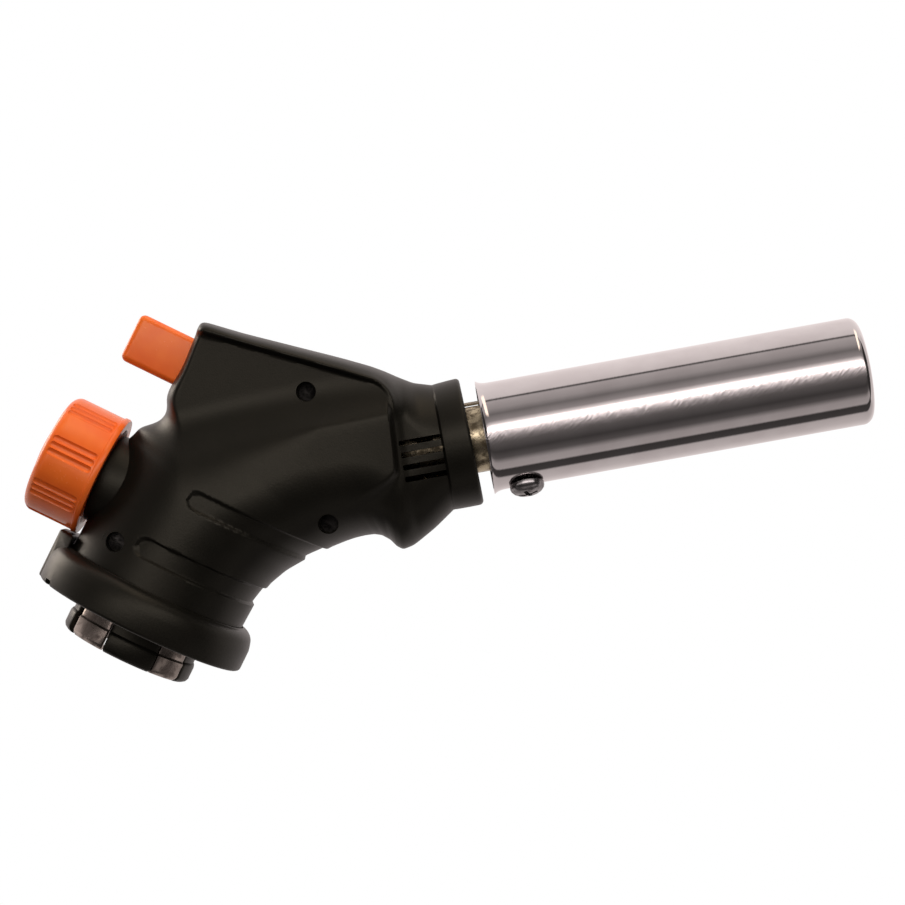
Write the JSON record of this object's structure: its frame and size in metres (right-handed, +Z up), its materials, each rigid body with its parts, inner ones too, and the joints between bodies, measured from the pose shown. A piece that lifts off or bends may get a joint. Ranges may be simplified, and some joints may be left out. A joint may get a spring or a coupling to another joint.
{
  "type": "butane torch",
  "caption": "Hand torch that twists onto a bayonet gas cartridge, with an angled flame tube, a gas knob at the back and a push-button piezo igniter.",
  "frame": {"origin": "centre of the cartridge socket, in the lowest plane of the claws that grip the cartridge", "axes": "+Z up along the cartridge's axis, +X the way the flame tube leans, +Y to the left of a user who stands behind the knob"},
  "size_m": [0.1487, 0.0448, 0.1262],
  "materials": {
    "black_abs": "fine matt moulded grain",
    "orange_plastic": "satin moulded",
    "chromed_steel": "polished, with fine turning marks",
    "nickel_steel": "bright pressed",
    "screw_steel": "dark zinc",
    "brass": "machined, slightly tarnished",
    "sintered_bronze": "sintered",
    "rubber": "matt",
    "ceramic": "glazed ceramic",
    "grey_plastic": "moulded",
    "wire_sleeve": "silicone sleeve"
  },
  "bodies": {
    "torch_body": {"housing_right": "black_abs", "housing_left": "black_abs", "base_ring": "black_abs", "claw_ring": "black_abs", "bayonet_plate": "nickel_steel", "clamp_nut": "brass", "valve_body": "brass", "inlet_seal": "rubber", "inlet_nozzle": "brass", "gas_filter": "sintered_bronze", "gland_nut": "brass", "gas_pipe": "brass", "jet": "brass", "mixing_tube": "brass", "tube_holder": "brass", "flame_holder": "nickel_steel", "flame_tube": "chromed_steel", "tube_screw": "screw_steel", "electrode": "nickel_steel", "electrode_insulator": "ceramic", "ignition_wire": "wire_sleeve", "piezo_case": "grey_plastic", "piezo_spring": "nickel_steel", "piezo_hammer": "screw_steel", "piezo_crystal": "ceramic", "housing_screw_1": "screw_steel", "housing_screw_2": "screw_steel", "housing_screw_3": "screw_steel"},
    "stem": {"spindle_o_ring": "rubber"},
    "knob": {"knob": "orange_plastic", "knob_cap": "orange_plastic", "knob_screw": "screw_steel", "valve_spindle": "nickel_steel"},
    "button": {"igniter_button": "orange_plastic", "piezo_plunger": "grey_plastic"}
  },
  "joints": [
    {"name": "stem_travel", "type": "slide", "parent": "torch_body", "child": "stem", "axis": [-1, 0, 0], "range_m": [0, 0.0012]},
    {"name": "knob_turn", "type": "hinge", "parent": "stem", "child": "knob", "pos_m": [0, 0, 0.0306], "axis": [-1, 0, 0], "range_deg": [0, 540]},
    {"name": "button_press", "type": "slide", "parent": "torch_body", "child": "button", "axis": [1, 0, 0], "range_m": [0, 0.005], "stiffness_N_per_m": 2500, "springref_m": -0.001, "deforming": ["piezo_spring"]}
  ],
  "couplings": [
    {"joint": "knob_turn", "follows": "stem_travel", "rad_per_m": 7854}
  ]
}
